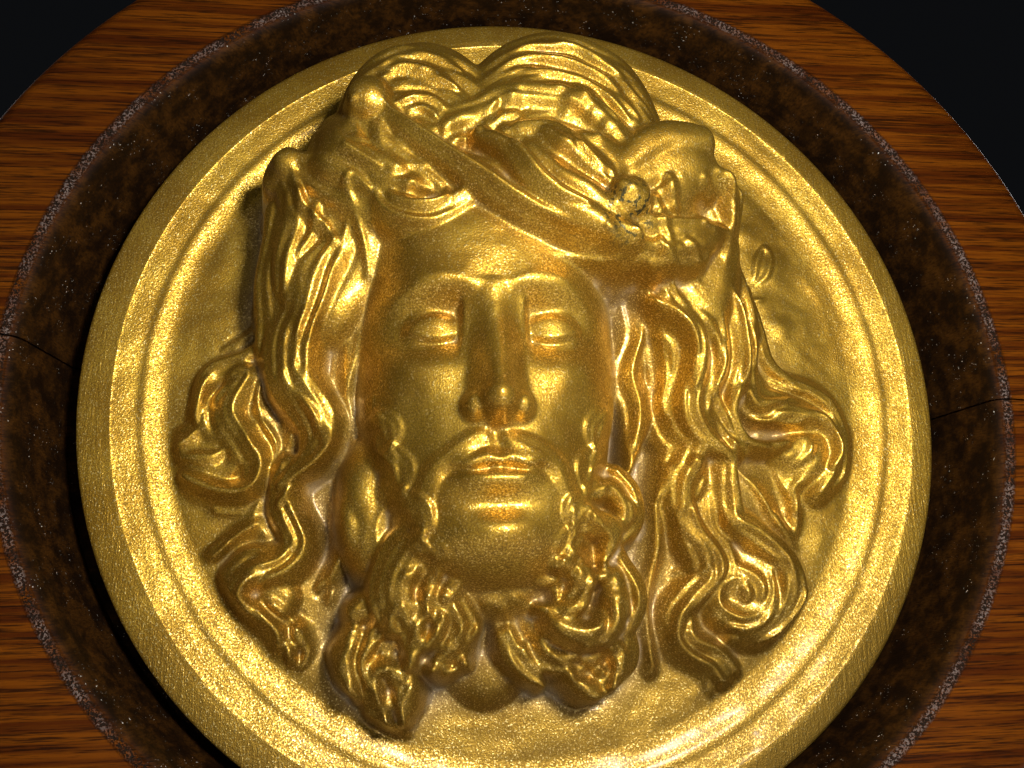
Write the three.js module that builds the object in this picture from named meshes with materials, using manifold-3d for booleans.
// Framed relief plaque: a round cast plaque with a crowned, bearded head in high relief, set in the dished face of
// a turned wooden surround. Millimetres, +Z up. The back lies in the plane Y = 0 and the relief faces -Y. The origin
// is the centre of the back.
import * as THREE from 'three';
import { mergeVertices } from 'three/addons/utils/BufferGeometryUtils.js';
import Module from 'manifold-3d';

const wasm = await Module();
wasm.setup();
const { clamp, smoothstep } = THREE.MathUtils;

// Driving sizes
const PLAQUE_RADIUS = 75;
const RIM_THICKNESS = 7.5;
const RIM_EDGE_BEVEL = 0.5;
const RELIEF_FIELD_RADIUS = 61;
const GROUND_LEVEL = -2.4;
const COVE_LEVEL = -3.2;

const WOOD_RADIUS = 101.4;
const WOOD_THICKNESS = 25.5;
const RECESS_RADIUS = 81.3;
const RECESS_FLOOR_RADIUS = 79.4;
const RECESS_FLOOR = 8;
const RECESS_EDGE_ROUNDING = 3;
const WOOD_EDGE_ROUNDING = 3.5;
const BACK_EDGE_BEVEL = 2;
const SHRINKAGE = 0.952;
const GRAIN_TILT = THREE.MathUtils.degToRad(3.7);
const GLUE_LINE_OFFSET = 0.7;
const GAP = 0.3;

const RELIEF_RINGS = 29;
const TURNED_SEGMENTS = 84;
const BACK_OF_PLAQUE = RECESS_FLOOR + GAP;
const RIM_TOP = BACK_OF_PLAQUE + RIM_THICKNESS;

// The head on its plan: u to the right, v up, heights w above the rim. The face is set out by thirds
const HEAD_U = -7.5;
const CHIN_V = -33;
const FACE_THIRD = 21;
const FACE_WIDTH = 43;
const NOSE_V = CHIN_V + FACE_THIRD;
const BROW_V = NOSE_V + FACE_THIRD;
const EYE_V = BROW_V - 0.3 * FACE_THIRD;
const MOUTH_V = NOSE_V - FACE_THIRD / 3;
const EYE_SPACING = FACE_WIDTH / 5;
const CHEEK_BASE = 4;

// Rim mouldings from the dished ground out: radius and height
const RIM_PROFILE = [
  [63, -2.3],
  [65.3, -0.6],
  [67.3, -0.6],
  [69.2, 0.15],
  [71.1, -0.2],
  [74.6, 0],
];

// Half width of the face, the front plane it has before its features, and the nose's ridge above that, by v
const FACE_HALF_WIDTHS = [[-37, 5], [-33, 10.5], [-27, 15.5], [-18, 18.8], [-8, 21], [4, 21.8], [16, 21.3], [26, 20],
  [40, 17]];
const FACE_FRONTS = [[-42, -5], [-38, 5], [-35.5, 14], [-32.5, 21.5], [-29, 24.4], [-24, 24.6], [-18, 25.4],
  [-12, 25.2], [-5, 24.8], [2, 24.6], [6, 25.2], [10, 26.2], [17, 26], [24, 24.5], [31, 21], [45, 6], [50, -5]];
const NOSE_RIDGE = [[-13.4, 0], [-12.6, 2.4], [-11.6, 5.4], [-10, 7.3], [-8.4, 7.2], [-3, 4.9], [2, 2.7], [6, 1.2],
  [10, 0]];

// Rounded masses under the locks: middle, half sizes, top, squareness
const MASSES = [
  { at: [-18, 38.5], half: [17, 20], top: 26, square: 2.6 },
  { at: [4.5, 36.5], half: [21.5, 25], top: 27, square: 2.8 },
  { at: [-33, 20], half: [11.5, 18], top: 16, square: 3 },
  { at: [26, 19], half: [12.5, 20], top: 17, square: 2.4 },
  { at: [-36, -6], half: [16, 36], top: 0.5, square: 1 },
  { at: [27, -8], half: [20, 36], top: 2, square: 1 },
  { at: [-19, -37], half: [9.5, 14], top: 10, square: 1.4 },
  { at: [4, -36], half: [10.5, 13.5], top: 12, square: 1.4 },
  { at: [-6.5, -32], half: [13, 9], top: 16, square: 1.4 },
];

// Locks of hair from root to tip: widths and crest heights at even steps along them, the places the middle runs
// through, and how far the ridge leans to one side
const LOCKS_LEFT = [
  { width: [5, 4], crest: [1.5, -1], route: [[-44, 11], [-47.5, 9], [-50.5, 7]] },
  { width: [5, 5.5, 4], crest: [2, 0.5, -1], lean: 0.3, route: [[-35, -12], [-33.5, -20], [-34, -27], [-37, -34]] },
  { width: [4, 5, 3], crest: [11, 5, 0], lean: 0.3, route: [[-30, 14], [-30.5, 6], [-29.5, -3], [-28.8, -11],
    [-29.5, -20], [-33, -35]] },
  { width: [4, 4.5, 2.5], crest: [2, 1.5, -0.5], route: [[-52, -5], [-56, -9], [-60, -12], [-59.3, -18],
    [-56, -25]] },
  { width: [4, 3], crest: [0, 0.5], route: [[-51, -20], [-46, -21.5], [-43, -25]] },
  { width: [4, 4.5, 2], crest: [1.5, 0.5, -1], route: [[-44.5, -23.5], [-49, -26], [-54, -29]] },
  { width: [4.5, 5, 3], crest: [5, 4, 1.5], lean: -0.3, route: [[-43.5, 7], [-47, 4], [-52, 2], [-54, -2],
    [-53, -7], [-50.5, -10]] },
  { width: [3, 3.5, 2.5], crest: [2.5, 2, 0.5], route: [[-50.5, -7], [-48.5, -12], [-50, -14.7], [-55, -13]] },
  { width: [5, 6, 3], crest: [6, 5, 1.5], lean: 0.3, route: [[-47, 1], [-49.5, -5], [-47, -10], [-44.5, -14],
    [-47, -18], [-57, -15.5]] },
  { width: [4, 4.5, 3], crest: [5, 4, 0], route: [[-44, 3], [-45, -5], [-41.8, -11], [-43, -17], [-45.5, -23]] },
  { width: [6, 6, 3], crest: [15, 9.5, 2], lean: 0.3, route: [[-41, 27], [-43, 16], [-42.5, 8], [-41, 1],
    [-39.5, -6], [-42.5, -18]] },
  { width: [4, 2.5], crest: [1.5, -1], route: [[-41, -38.5], [-42, -42], [-41, -46.5]] },
  { width: [4, 2], crest: [1.5, -1], route: [[-38, -40], [-36.3, -43], [-37, -46]] },
  { width: [5, 6, 6, 3], crest: [7, 5, 4.5, 0], lean: 0.35, route: [[-39.5, -15], [-39.5, -21], [-37.3, -26],
    [-40, -29.5], [-46, -31], [-47, -35], [-42, -39], [-39, -45]] },
  { width: [8, 10, 8, 5], crest: [19, 15.5, 12.5, 7], lean: 0.45, route: [[-31, 24], [-34.5, 15], [-38, 6],
    [-38, -1], [-34.5, -8], [-35.5, -13], [-40, -17.5]] },
];

const LOCKS_RIGHT = [
  { width: [3, 3.5, 2], crest: [1, 0.5, -1], route: [[43.5, -14], [46.5, -19.5], [47, -26]] },
  { width: [3, 4, 2], crest: [2, 1.5, -1], route: [[36, -15], [41, -21], [46.5, -28.5]] },
  { width: [3.5, 4, 2.5], crest: [3.5, 3, 1.5], route: [[41, -11], [45.5, -12.5], [49, -10.3], [50.5, -12.5],
    [49.5, -16], [47, -18]] },
  { width: [4, 4.5, 3], crest: [9.5, 5, 1.5], lean: 0.2, route: [[16.5, 18], [17.5, 8], [19, -2], [20, -12],
    [20.5, -24]] },
  { width: [5, 5.5, 4.5, 3], crest: [9.5, 4.5, 2.5, 0], lean: 0.4, route: [[38.5, 15], [40.5, 9], [42.3, 4],
    [46, 0.5], [51, -1.5], [55, -5], [57.3, -10], [56.3, -15], [53.5, -19]] },
  { width: [3, 3.5, 2.5], crest: [7, 5, 3], route: [[38.7, 5.5], [39.8, 0.5], [42, -2.5], [47, -3.5], [52, -5]] },
  { width: [4, 3.5, 3, 2.5], crest: [8, 5, 2, 0], route: [[23.5, -12], [21.5, -21], [20.5, -29], [18.5, -37],
    [19.5, -48]] },
  { width: [3, 3.5, 1.5], crest: [3, 2, 0], route: [[23.5, -26], [25.7, -30.5], [23.5, -35]] },
  { width: [4.5, 5, 4.5, 3], crest: [15, 8, 4.5, 2], lean: 0.3, route: [[33.5, 20.5], [36.7, 14.5], [38, 8],
    [37.5, 0.5], [39, -4], [43.5, -5.5], [48, -5.5], [52, -6.5], [54.5, -10.5], [54, -15], [51, -19.5]] },
  { width: [4.5, 5, 3], crest: [4, 4, 3], route: [[36, -27.5], [39.7, -31.5], [39, -37.5], [35, -40], [31, -38],
    [31.3, -34.5], [34.5, -33.5], [36, -36]] },
  { width: [4, 5.5, 5.5, 3], crest: [9.5, 7, 5.5, 1.5], lean: 0.4, route: [[32.5, -13], [32.2, -19], [33.3, -24],
    [37, -26], [41, -29.3], [43.5, -33.5], [43, -38], [39.5, -42], [33.5, -43]] },
  { width: [4, 3], crest: [1.5, -1], route: [[26, -44], [28.5, -48], [29, -52]] },
  { width: [3.5, 3.5, 2.5], crest: [2.5, 2, 0], route: [[25, -39], [26.3, -42.5], [30, -45], [33.8, -49]] },
  { width: [4, 4.5, 3], crest: [7.5, 5, 2.5], route: [[29.8, -15], [28.8, -21], [29.5, -25.5], [32, -29],
    [32.3, -33], [29.5, -36]] },
  { width: [5, 6, 5, 3], crest: [11, 6.5, 3.5, 0.5], lean: 0.3, route: [[27, -11.5], [25, -17], [24.8, -22],
    [26, -26], [28.7, -30], [28.8, -33.5], [25.5, -36.5], [23.3, -39.5], [24.2, -43.5], [28.5, -47.3],
    [32.5, -51]] },
  { width: [6, 7, 5], crest: [16, 10.5, 7.5], lean: 0.2, route: [[19, 14], [20.5, 7], [21.5, 0], [21.5, -6],
    [24, -11], [28, -14.5]] },
  { width: [5, 5, 4.5, 3], crest: [18, 14, 9.5, 5], lean: 0.4, route: [[26, 22], [31.5, 13.5], [34.3, 7], [35, 1],
    [33.2, -5], [34.7, -10], [39.5, -12], [45, -11]] },
  { width: [5, 6.5, 6, 4], crest: [19.5, 15.5, 12, 7.5], lean: 0.3, route: [[22, 17.5], [27, 11.5], [30.3, 6],
    [30.8, 1], [29.5, -4], [32, -10], [36.5, -13.5]] },
  { width: [5.5, 7.5, 7, 4.5], crest: [20.5, 17.5, 14, 9.5], lean: 0.3, route: [[17.5, 16], [22, 10], [25.5, 5],
    [26.5, 0], [25.7, -5.5], [28, -11], [32, -14.5]] },
];

// Curls of the beard, laid as the locks are
const BEARD = [
  { width: [4, 3], crest: [12, 11], route: [[-24, -15], [-26.3, -20], [-25.5, -26]] },
  { width: [4, 3.5], crest: [14, 12], route: [[-21.5, -20], [-25, -25], [-24.5, -31]] },
  { width: [3, 4, 2.5], crest: [14, 13.5, 12], route: [[12, -17], [14.7, -20.5], [14.7, -25], [12, -29]] },
  { width: [3, 3.5, 2.5], crest: [18, 17, 15], route: [[7, -21], [10.5, -20.2], [12.3, -24], [10, -28]] },
  { width: [4, 4, 2.5], crest: [11, 10, 8], route: [[-28, -37.5], [-25, -35], [-22.7, -38], [-22.7, -42],
    [-26, -46]] },
  { width: [4, 4.5, 3], crest: [9, 8.5, 9.5], route: [[-28, -39.5], [-29.5, -45], [-27.5, -49.5]] },
  { width: [6.5, 8, 7, 3], crest: [11, 11.5, 8, 2], lean: 0.2, route: [[-24, -41], [-25.5, -45.5], [-24.5, -50],
    [-23, -56]] },
  { width: [3, 3.5, 2.5], crest: [12, 11, 8], route: [[-19, -42], [-21, -45], [-20, -49.5]] },
  { width: [3, 3.5, 3], crest: [12.5, 11.5, 12], route: [[-19.5, -46], [-15, -48.2], [-10.8, -45.5],
    [-10.3, -40.5]] },
  { width: [2.6, 3, 2], crest: [14.5, 13, 12], route: [[-17.5, -41.5], [-14.5, -43.5], [-17, -46.5]] },
  { width: [2.6, 3, 2], crest: [16, 14, 11.5], route: [[-12.5, -36.5], [-11.2, -40], [-13, -43.5], [-11.5, -46]] },
  { width: [6, 9, 8, 4], crest: [20.5, 18, 16, 13], lean: 0.2, route: [[-15, -27], [-20.5, -30.5], [-22, -35.5],
    [-19, -40], [-20, -45]] },
  { width: [2.6, 3, 2], crest: [18.5, 17, 15], route: [[-15.5, -32], [-17.5, -36], [-15.5, -39.5], [-17.3, -43]] },
  { width: [2.6, 3.2, 2], crest: [19, 17, 14.5], route: [[-12.5, -33], [-14.5, -36], [-13, -39.5], [-14.5, -43]] },
  { width: [4, 5, 3], crest: [13.5, 11, 8], lean: 0.3, route: [[-5, -39], [-3, -45], [1.5, -48.7], [6, -49.5]] },
  { width: [4, 4.5, 3], crest: [15, 13.5, 11], route: [[-0.5, -41.5], [3, -45], [7.3, -46.3], [10, -43]] },
  { width: [5, 5, 3], crest: [13, 11, 5], route: [[9, -39], [12, -43], [12, -48], [9, -53]] },
  { width: [2.6, 3, 2], crest: [12, 9, 4], route: [[5.5, -46], [7.5, -49.5], [6.5, -53]] },
  { width: [3.5, 4, 3], crest: [12.5, 12.5, 10], route: [[12.3, -31], [15, -36.5], [12.8, -42]] },
  { width: [4, 4.5, 3.5], crest: [18.5, 17.5, 18], route: [[1.5, -39.5], [6, -41], [10.2, -38.8], [10, -34],
    [6.8, -33]] },
  { width: [4, 4.5, 3], crest: [21, 20, 17], route: [[-3, -30.5], [2.5, -31], [4.9, -34.5], [2.7, -38.3],
    [-1, -37.8]] },
  { width: [2.4, 2.4, 1.6], crest: [18.5, 18, 16.5], route: [[-1.5, -33.5], [1.2, -34], [1, -36.3]] },
  { width: [4, 4.5, 3], crest: [22, 21, 18], route: [[-1, -26.5], [4, -25], [9, -27], [8.3, -31.5]] },
  { width: [2.4, 2.8, 2], crest: [19, 18, 16.5], route: [[2.5, -28.8], [5.3, -29.3], [6.3, -32]] },
];

// Twisted branches of the crown and the lobes of hair between them: strands with round backs and blunt ends
const BRANCHES = [
  { width: [7, 8, 7], crest: [19, 19, 16], lean: 0.2, route: [[-39, 31], [-36.5, 25], [-32, 20.5], [-29, 14]] },
  { width: [6, 6, 5], crest: [24, 20, 17], route: [[-29, 27], [-26.5, 20], [-26, 15]] },
  { width: [6, 6, 4], crest: [25, 25.5, 24], lean: 0.3, route: [[-24, 36], [-21, 43], [-15.5, 45.5], [-10, 42.5]] },
  { width: [8, 11, 11], crest: [22, 25.5, 26.5], route: [[-31, 39], [-31, 33], [-23, 28]] },
  { width: [6, 6.5, 5], crest: [23.5, 26.5, 27], lean: -0.3, route: [[-25.5, 27.5], [-22.5, 22.8], [-17, 21.3],
    [-11.5, 24]] },
  { width: [5, 6, 7.5, 5.5, 7], crest: [26, 27, 28.5, 28.5, 28], route: [[-17, 35], [-11, 38.8], [-5, 41],
    [1.5, 41.2], [7.5, 39.5], [12.5, 35], [15.5, 29]] },
  { width: [6, 8.5, 8.5, 6], crest: [28, 30.8, 31, 29], lean: 0.25, route: [[-4.5, 34], [0.5, 33.3], [5, 30.3],
    [9, 26.5], [13, 21.5]] },
  { width: [3.5, 5.5, 4.5], crest: [29, 31, 29.5], route: [[-2, 30.5], [2, 26.3], [6.5, 22.5], [11.5, 18.5]] },
  { width: [3.5, 4.5, 5, 4], crest: [29, 32.2, 31.5, 29.5], route: [[-8.5, 33.5], [-5, 30], [-1.3, 25], [3, 21],
    [8.5, 17.8], [13, 16]] },
  { width: [8, 10, 10.5], crest: [18.5, 23.5, 27], lean: 0.3, route: [[-40.5, 32.3], [-36, 31], [-31, 28.3],
    [-26, 26], [-20.5, 25]] },
  { width: [7, 9, 9, 7], crest: [14, 19, 24, 27], route: [[32, 12], [32, 20], [28, 20], [19, 16]] },
  { width: [6, 7.5, 7.5, 6], crest: [28, 27, 23.5, 19], lean: 0.2, route: [[16, 20.5], [21, 24], [26.5, 27.3],
    [31.5, 28]] },
  { width: [7, 9, 9.5, 8], crest: [28.5, 29, 28, 25], lean: 0.45, route: [[12, 26.5], [16.5, 30.3], [21.5, 33.7],
    [27, 34.5]] },
  { width: [6, 6, 5], crest: [26, 24, 19], lean: 0.2, route: [[26.5, 34], [29, 30], [29.5, 25]] },
  { width: [7, 9, 10.5, 9.5, 8], crest: [26.5, 29.5, 31, 30, 25], lean: 0.35, route: [[-26.7, 39.8], [-22, 34.5],
    [-15.5, 29.2], [-9.5, 25.8], [-3.5, 21.8], [3, 18.2], [10.5, 15.5], [20, 14.8], [28, 18.3]] },
];

// Knots and cut ends on the crown, and curls that are filled in: middle, radius and top
const KNOTS = [
  [-26.5, 40.4, 3.6, 28], [13.5, 22.5, 3.2, 31.2], [-39.5, 33, 3.6, 20.5], [-4.8, 41.2, 2, 29.4],
  [2.4, 42.5, 1.5, 29.5], [5.6, 41.2, 1.4, 29.7], [8.1, 40.2, 1.6, 29.4], [5.5, 38.2, 1.3, 29.5],
  [9.8, 37, 1.4, 29.5], [12.4, 37.5, 1.2, 28.7], [22, 30, 6.5, 27.5], [36.5, -34.5, 6.5, 3.5],
  [49.5, -12, 6, 2.8], [-53, -12.5, 5.5, 1.5], [-41.5, -34.5, 4, 2],
];

// Small functions
const mix = (from, to, t) => from + (to - from) * t;
const softMax = (a, b, softness) => (a + b + Math.hypot(a - b, softness)) / 2;
const bump = (x, y, halfX, halfY) => Math.exp(-((x / halfX) ** 2) - (y / halfY) ** 2);
const dome = (q) => Math.sqrt(Math.max(0, 1 - q));

// A smooth curve from one value to the next, with the values before and after them
function curve(before, start, end, after, t) {
  const t2 = t * t;
  const t3 = t2 * t;
  const endShare = 3 * t2 - 2 * t3;
  return mix(start, end, endShare) + ((t3 - 2 * t2 + t) * (end - before) + (t3 - t2) * (after - start)) / 2;
}

// A value between the stops of a list
function along(stops, place) {
  const last = stops.length - 1;
  if (place <= stops[0][0]) return stops[0][1];
  if (place >= stops[last][0]) return stops[last][1];
  const i = stops.findIndex(([x]) => x > place) - 1;
  const t = (place - stops[i][0]) / (stops[i + 1][0] - stops[i][0]);
  return curve(stops[Math.max(i - 1, 0)][1], stops[i][1], stops[i + 1][1], stops[Math.min(i + 2, last)][1], t);
}

// A value at a share of a length, from values at even steps along it
function stepsAlong(values, share) {
  const last = values.length - 1;
  const i = Math.min(Math.floor(share * last), last - 1);
  return curve(values[Math.max(i - 1, 0)], values[i], values[i + 1], values[Math.min(i + 2, last)], share * last - i);
}

// Height of the dished ground
function groundHeight(u, v) {
  const r = Math.hypot(u, v) / RELIEF_FIELD_RADIUS;
  return mix(GROUND_LEVEL, COVE_LEVEL, r ** 3);
}

// Height of a rounded mass, far below the ground outside it
function massHeight({ at, half, top, square }, u, v) {
  const q = ((u - at[0]) / half[0]) ** 2 + ((v - at[1]) / half[1]) ** 2;
  return mix(COVE_LEVEL - 1, top, dome(q ** square)) - Math.max(0, q - 1) * top;
}

// How much a strand's sides fall, how steep a low and a high one's foot is past its edge, and how steep the face's
// edge is
const SIDE_FALL = 1.05;
const LOW_FOOT = 1.5;
const HIGH_FOOT = 3.4;
const SIDE_SLOPE = 5;
const footSlope = (crest) => mix(LOW_FOOT, HIGH_FOOT, smoothstep(crest, 5, 15));

// The middle line of a strand as short straight steps
const STEPS_BETWEEN_PLACES = 8;
function middleLine(route) {
  const points = route.map(([u, v]) => new THREE.Vector2(u, v));
  return new THREE.SplineCurve(points).getPoints(STEPS_BETWEEN_PLACES * (points.length - 1));
}

// Height of a strand: a ridge, moved to one side by lean, with steep sides. tip is the share of its width that is
// left at its end, and sharp the power of its section, 1 for a roof and 2 for a round back
function strandHeight(strand, u, v, tip, sharp) {
  strand.line ??= middleLine(strand.route);
  const { line, width, crest, lean = 0 } = strand;
  let nearest = Infinity;
  let share = 0;
  let side = 1;
  for (let i = 0; i + 1 < line.length; i++) {
    const runU = line[i + 1].x - line[i].x;
    const runV = line[i + 1].y - line[i].y;
    const step = ((u - line[i].x) * runU + (v - line[i].y) * runV) / (runU * runU + runV * runV);
    const s = clamp(step, 0, 1);
    const offU = u - line[i].x - s * runU;
    const offV = v - line[i].y - s * runV;
    const distance = Math.hypot(offU, offV);
    if (distance < nearest) {
      nearest = distance;
      share = (i + s) / (line.length - 1);
      side = Math.sign(runU * offV - runV * offU);
    }
  }
  const half = (stepsAlong(width, share) / 2) * mix(1, tip, smoothstep(share, 0.75, 1));
  const x = (side * nearest) / half;
  const across = Math.abs(x - lean) / (x > lean ? 1 - lean : 1 + lean);
  const top = stepsAlong(crest, share);
  const fall = SIDE_FALL * Math.min(across, 1) ** sharp + footSlope(top) * Math.max(0, Math.abs(x) - 1);
  return top - half * fall;
}

// Locks run out thin, and branches end blunt
const LOCK_TIP = 0.35;
const LOCK_SECTION = 1.6;
const BRANCH_TIP = 1;
const BRANCH_SECTION = 2;
const lockHeight = (strand, u, v) => strandHeight(strand, u, v, LOCK_TIP, LOCK_SECTION);
const branchHeight = (strand, u, v) => strandHeight(strand, u, v, BRANCH_TIP, BRANCH_SECTION);

// Height of a knot: a button that is a little flatter than a ball
const KNOT_FLATNESS = 0.8;
function knotHeight([atU, atV, radius, top], u, v) {
  const q = Math.hypot(u - atU, v - atV) / radius;
  return top - radius * (KNOT_FLATNESS * (1 - dome(q * q)) + footSlope(top) * Math.max(0, q - 1));
}

// Height of the face: an egg of a head, with brow, closed eyes, nose, mouth and chin on it
function faceHeight(u, v) {
  const x = Math.abs(u - HEAD_U);
  const halfWidth = along(FACE_HALF_WIDTHS, v);
  const front = along(FACE_FRONTS, v);
  const across = Math.max(0, 1 - (x / halfWidth) ** 2.8) ** 0.56;
  const egg = mix(Math.min(CHEEK_BASE, front), front, across) - Math.max(0, x - halfWidth) * SIDE_SLOPE;
  const cheek = 1.2 * bump(x - 12.5, v + 3.5, 6, 4.5) - 1.3 * bump(x - 13, v + 15.5, 4.5, 7);
  const shaped = egg + cheek - bump(x - 18, v - 13, 4, 7) + eyeSocket(x, v);
  return nose(x, v, front, softMax(shaped, eyelid(x, v, front), 0.6) + mouthAndChin(x, v));
}

// The brow's arch and the hollow under it
function eyeSocket(x, v) {
  const arch = BROW_V + 0.6 - 0.032 * (x - 8.5) ** 2;
  const brow = 1.1 * bump(0, v - arch, 1, 2.4) * smoothstep(x, 0.5, 4) * (1 - smoothstep(x, 11, 18));
  const hollow = 3.6 * bump(x - EYE_SPACING, v - EYE_V - 0.8, 6.2, 4.6);
  return brow - hollow - 2.2 * bump(x - 4.2, v - EYE_V - 1.5, 2.4, 4);
}

// A closed eye: the lids stretched over the ball
function eyelid(x, v, front) {
  const q = ((x - EYE_SPACING) / 5.3) ** 2 + ((v - EYE_V) / 4.3) ** 2;
  return front - 5.4 + 3.7 * dome(q) - 3 * Math.max(0, q - 1);
}

// Lips with the line between them, the groove below and the rounded chin
function mouthAndChin(x, v) {
  const up = v - MOUTH_V;
  const upper = 1.3 * bump(x, up - 1.3, 5, 1.2);
  const lower = 1.7 * bump(x, up + 1.6, 4.5, 1.4);
  const parting = 1.2 * bump(x, up, 6.5, 0.4);
  const underLip = 1.3 * bump(x, up + 5.2, 5, 1.9);
  const chin = 2.4 * bump(x, v - CHIN_V - 5.6, 5.6, 4);
  return 1.3 * bump(x, up, 9, 6.5) + upper + lower - parting - underLip + chin;
}

// The bridge, tip and wings of the nose, joined to the face
function nose(x, v, front, height) {
  const rise = along(NOSE_RIDGE, v);
  const reach = mix(5.4, 4.2, smoothstep(v, -9, 5));
  const bridge = front - 1 + (rise + 1) * (1 - smoothstep(x, 0, reach) ** 0.85) - SIDE_SLOPE * Math.max(0, x - reach);
  const bridged = rise > 0.05 ? softMax(height, bridge, 0.6) : height;
  const tip = 1 - (x / 2.8) ** 2 - ((v - NOSE_V - 2.6) / 2.7) ** 2;
  const tipped = softMax(bridged, front + 3.6 + 4 * Math.sqrt(Math.max(0, tip)) + 6 * Math.min(tip, 0), 0.7);
  const wing = 1 - ((x - 3.4) / 1.7) ** 2 - ((v - NOSE_V - 2.1) / 2.2) ** 2;
  return softMax(tipped, front + 1.2 + 3 * Math.sqrt(Math.max(0, wing)) + 6 * Math.min(wing, 0), 0.4);
}

// Height of the whole relief
const SOFT = 0.6;
const EDGE_BAND = 2.5;
function reliefHeight(u, v) {
  const lay = (height, items, itemHeight) => (
    items.reduce((sum, item) => softMax(sum, itemHeight(item, u, v), SOFT), height));
  let height = lay(groundHeight(u, v), MASSES, massHeight);
  height = lay(height, LOCKS_LEFT, lockHeight);
  height = lay(height, LOCKS_RIGHT, lockHeight);
  height = softMax(height, faceHeight(u, v), SOFT);
  height = lay(height, BEARD, lockHeight);
  height = lay(height, BRANCHES, branchHeight);
  height = lay(height, KNOTS, knotHeight);
  return mix(height, COVE_LEVEL, smoothstep(Math.hypot(u, v), RELIEF_FIELD_RADIUS - EDGE_BAND, RELIEF_FIELD_RADIUS));
}

// Rings of points over the relief: ring k holds 6k points, so all triangles have much the same size
function ringPoints() {
  const points = [[0, 0]];
  for (let ring = 1; ring <= RELIEF_RINGS; ring++) {
    for (let i = 0; i < 6 * ring; i++) {
      const angle = (i / (6 * ring)) * 2 * Math.PI;
      const radius = (ring / RELIEF_RINGS) * RELIEF_FIELD_RADIUS;
      points.push([radius * Math.cos(angle), radius * Math.sin(angle)]);
    }
  }
  return points;
}

function ringTriangles() {
  const first = (ring) => (ring === 0 ? 0 : 1 + 3 * ring * (ring - 1));
  const triangles = [];
  for (let ring = 1; ring <= RELIEF_RINGS; ring++) {
    const inner = Math.max(1, 6 * (ring - 1));
    const outer = 6 * ring;
    for (let sector = 0; sector < 6; sector++) {
      for (let i = 0; i < ring; i++) {
        const a = first(ring) + ((sector * ring + i) % outer);
        const b = first(ring) + ((sector * ring + i + 1) % outer);
        const c = first(ring - 1) + ((sector * (ring - 1) + i) % inner);
        triangles.push([a, b, c]);
        if (i + 1 < ring) triangles.push([c, b, first(ring - 1) + ((sector * (ring - 1) + i + 1) % inner)]);
      }
    }
  }
  return triangles;
}

// Heights on a square grid, softened to what facets of this size can follow
const GRID_STEP = 0.75;
const SOFTENING_PASSES = 2;
const gridHalf = Math.ceil(RELIEF_FIELD_RADIUS / GRID_STEP) + 2;
const gridSize = 2 * gridHalf + 1;
function softGrid() {
  const place = (k) => (k - gridHalf) * GRID_STEP;
  let heights = Array.from({ length: gridSize ** 2 }, (_, i) => (
    reliefHeight(place(i % gridSize), place(Math.floor(i / gridSize)))));
  for (let pass = 0; pass < SOFTENING_PASSES; pass++) {
    heights = heights.map((height, i) => (2 * height + sumAround(heights, i)) / 6);
  }
  return heights;
}

// The four neighbours' heights together, with the place's own where the grid ends
function sumAround(heights, i) {
  return [i - 1, i + 1, i - gridSize, i + gridSize].reduce((sum, j) => sum + (heights[j] ?? heights[i]), 0);
}

// Height anywhere on the grid
function gridHeight(heights, u, v) {
  const x = u / GRID_STEP + gridHalf;
  const y = v / GRID_STEP + gridHalf;
  const i = Math.floor(y) * gridSize + Math.floor(x);
  const s = x % 1;
  return mix(mix(heights[i], heights[i + 1], s), mix(heights[i + gridSize], heights[i + gridSize + 1], s), y % 1);
}

// How sharply the relief bends at a place, up to 1
const BEND_SCALE = 4;
function bendAt(heights, u, v) {
  const i = (Math.round(v / GRID_STEP) + gridHalf) * gridSize + Math.round(u / GRID_STEP) + gridHalf;
  return Math.min(1, BEND_SCALE * Math.abs(sumAround(heights, i) / 4 - heights[i]));
}

// Draws the points towards the places where the relief bends most
const DRAW_STEPS = 16;
const DRAW_STRENGTH = 1.6;
function drawToDetail(points, triangles, heights) {
  const neighbours = points.map(() => new Set());
  for (const [a, b, c] of triangles) {
    neighbours[a].add(b).add(c);
    neighbours[b].add(a).add(c);
    neighbours[c].add(a).add(b);
  }
  const fixed = points.length - 6 * RELIEF_RINGS;
  let places = points;
  for (let step = 0; step < DRAW_STEPS; step++) {
    const weights = places.map(([u, v]) => 1 + DRAW_STRENGTH * bendAt(heights, u, v));
    places = places.map((place, i) => {
      if (i >= fixed) return place;
      let u = 0;
      let v = 0;
      let sum = 0;
      for (const j of neighbours[i]) {
        u += weights[j] * places[j][0];
        v += weights[j] * places[j][1];
        sum += weights[j];
      }
      return [u / sum, v / sum];
    });
  }
  return places;
}

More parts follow.
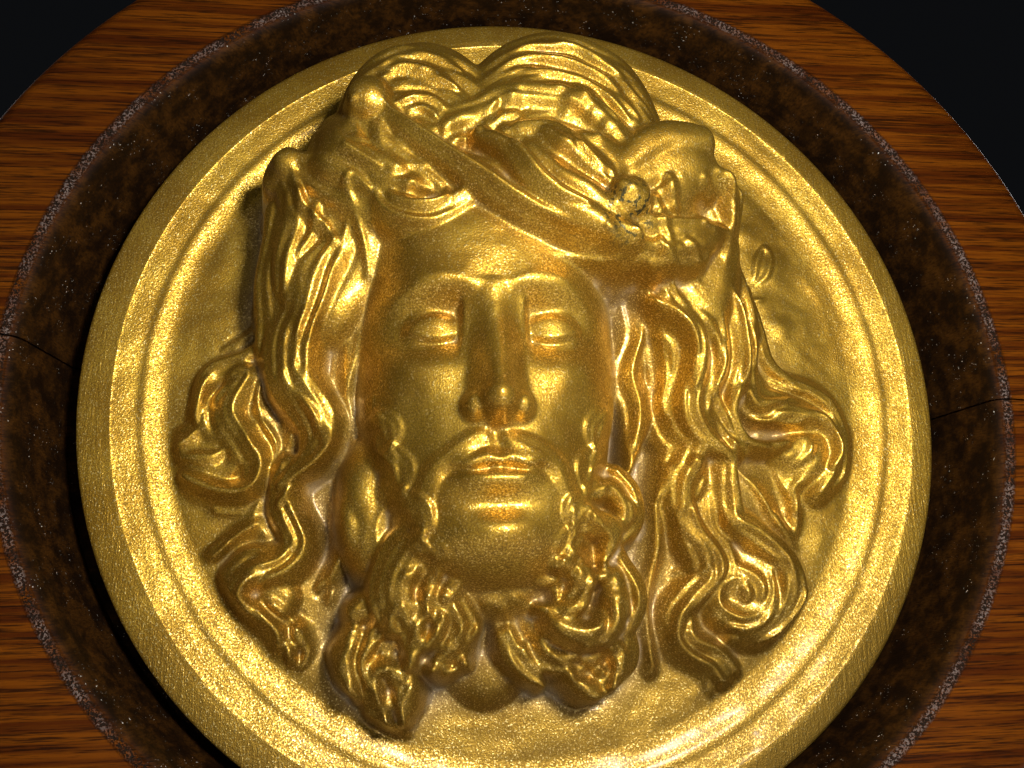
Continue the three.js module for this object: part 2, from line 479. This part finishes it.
// The cast plaque: relief, rim mouldings, edge and flat back in one closed skin
function plaqueGeometry() {
  const triangles = ringTriangles();
  const heights = softGrid();
  const places = drawToDetail(ringPoints(), triangles, heights);
  const vertices = places.map(([u, v]) => [u, -RIM_TOP - gridHeight(heights, u, v), v]);
  const around = 6 * RELIEF_RINGS;
  const rings = [
    ...RIM_PROFILE.map(([radius, height]) => [radius, -RIM_TOP - height]),
    [PLAQUE_RADIUS, -RIM_TOP + RIM_EDGE_BEVEL],
    [PLAQUE_RADIUS, -BACK_OF_PLAQUE],
  ];
  let inner = vertices.length - around;
  for (const [radius, y] of rings) {
    const outer = vertices.length;
    for (let i = 0; i < around; i++) {
      const angle = (i / around) * 2 * Math.PI;
      vertices.push([radius * Math.cos(angle), y, radius * Math.sin(angle)]);
      const next = (i + 1) % around;
      triangles.push([inner + i, outer + i, outer + next], [inner + i, outer + next, inner + next]);
    }
    inner = outer;
  }
  const middle = vertices.length;
  vertices.push([0, -BACK_OF_PLAQUE, 0]);
  for (let i = 0; i < around; i++) triangles.push([inner + i, middle, inner + ((i + 1) % around)]);
  const geometry = new THREE.BufferGeometry();
  geometry.setAttribute('position', new THREE.Float32BufferAttribute(vertices.flat(), 3));
  geometry.setIndex(triangles.flat());
  return geometry;
}

// The turned surround before it is parted: a lathe profile, narrower across the grain because wood shrinks there
function turnedGeometry() {
  const front = WOOD_THICKNESS;
  const profile = [new THREE.Vector2(0, 0), new THREE.Vector2(WOOD_RADIUS - BACK_EDGE_BEVEL, 0)];
  profile.push(new THREE.Vector2(WOOD_RADIUS, BACK_EDGE_BEVEL));
  const round = (middleR, middleY, radius, fromDegrees, toDegrees, steps) => {
    for (let i = 0; i <= steps; i++) {
      const angle = THREE.MathUtils.degToRad(mix(fromDegrees, toDegrees, i / steps));
      profile.push(new THREE.Vector2(middleR + radius * Math.cos(angle), middleY + radius * Math.sin(angle)));
    }
  };
  round(WOOD_RADIUS - WOOD_EDGE_ROUNDING, front - WOOD_EDGE_ROUNDING, WOOD_EDGE_ROUNDING, 0, 90, 2);
  round(RECESS_RADIUS + RECESS_EDGE_ROUNDING, front - RECESS_EDGE_ROUNDING, RECESS_EDGE_ROUNDING, 90, 175, 2);
  profile.push(new THREE.Vector2(RECESS_FLOOR_RADIUS, RECESS_FLOOR), new THREE.Vector2(0, RECESS_FLOOR));
  const geometry = new THREE.LatheGeometry(profile, TURNED_SEGMENTS);
  geometry.scale(1, 1, SHRINKAGE);
  geometry.rotateX(Math.PI);
  geometry.rotateY(GRAIN_TILT);
  return geometry;
}

// Closed solids in and out of the boolean library
function toSolid(geometry) {
  const bare = geometry.clone();
  bare.deleteAttribute('normal');
  bare.deleteAttribute('uv');
  const merged = mergeVertices(bare, 1e-4);
  const mesh = new wasm.Mesh({
    numProp: 3,
    vertProperties: new Float32Array(merged.attributes.position.array),
    triVerts: new Uint32Array(merged.index.array),
  });
  return new wasm.Manifold(mesh);
}

function toGeometry(solid) {
  const mesh = solid.getMesh();
  const geometry = new THREE.BufferGeometry();
  geometry.setAttribute('position', new THREE.BufferAttribute(mesh.vertProperties, 3));
  geometry.setIndex(new THREE.BufferAttribute(mesh.triVerts, 1));
  return geometry;
}

// One board: the turned blank on one side of the glue line
function boardGeometry(side) {
  const reach = 3 * WOOD_RADIUS;
  const keep = new THREE.BoxGeometry(reach, reach, reach);
  keep.translate(0, 0, side * (reach / 2 + GAP / 2));
  keep.translate(0, 0, GLUE_LINE_OFFSET);
  keep.rotateY(GRAIN_TILT);
  return toGeometry(toSolid(turnedGeometry()).intersect(toSolid(keep)));
}

function named(name, geometry, material) {
  const mesh = new THREE.Mesh(geometry, material);
  mesh.name = name;
  return mesh;
}

const bronze = new THREE.MeshStandardMaterial({ color: 0xb08a33, roughness: 0.38, metalness: 1 });
const wood = new THREE.MeshStandardMaterial({ color: 0x6e3512, roughness: 0.4, metalness: 0 });

const plaque = new THREE.Group();
plaque.add(
  named('relief_plaque', plaqueGeometry(), bronze),
  named('frame_upper_board', boardGeometry(1), wood),
  named('frame_lower_board', boardGeometry(-1), wood),
);

export default plaque;
